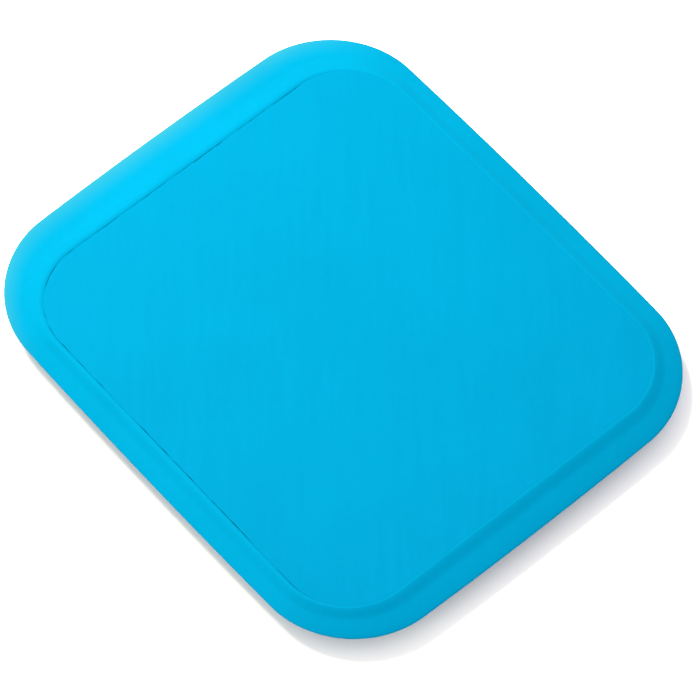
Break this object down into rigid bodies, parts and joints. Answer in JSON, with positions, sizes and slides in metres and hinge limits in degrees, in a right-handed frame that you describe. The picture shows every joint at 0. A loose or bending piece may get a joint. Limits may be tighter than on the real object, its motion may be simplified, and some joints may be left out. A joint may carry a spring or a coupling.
{
  "type": "tens electrode pad",
  "caption": "Thin rectangular electrode pad with round corners, a rolled soft rim round a recessed contact sheet, and a snap stud on the back.",
  "frame": {"origin": "on the surface the pad lies on, under the middle of its outline", "axes": "+X along the long sides, +Y along the short sides, +Z out of the contact sheet, away from the back"},
  "size_m": [0.058, 0.05, 0.0042],
  "materials": {
    "backing_foam": "soft satin, moulded foam",
    "contact_sheet": "satin, faint streaks",
    "carbon_film": "matte",
    "nickel_plate": "bright nickel plate"
  },
  "bodies": {
    "root": {"backing": "backing_foam", "contact_sheet": "contact_sheet", "conductive_film": "carbon_film", "snap_eyelet": "nickel_plate", "snap_stud": "nickel_plate"}
  },
  "joints": []
}
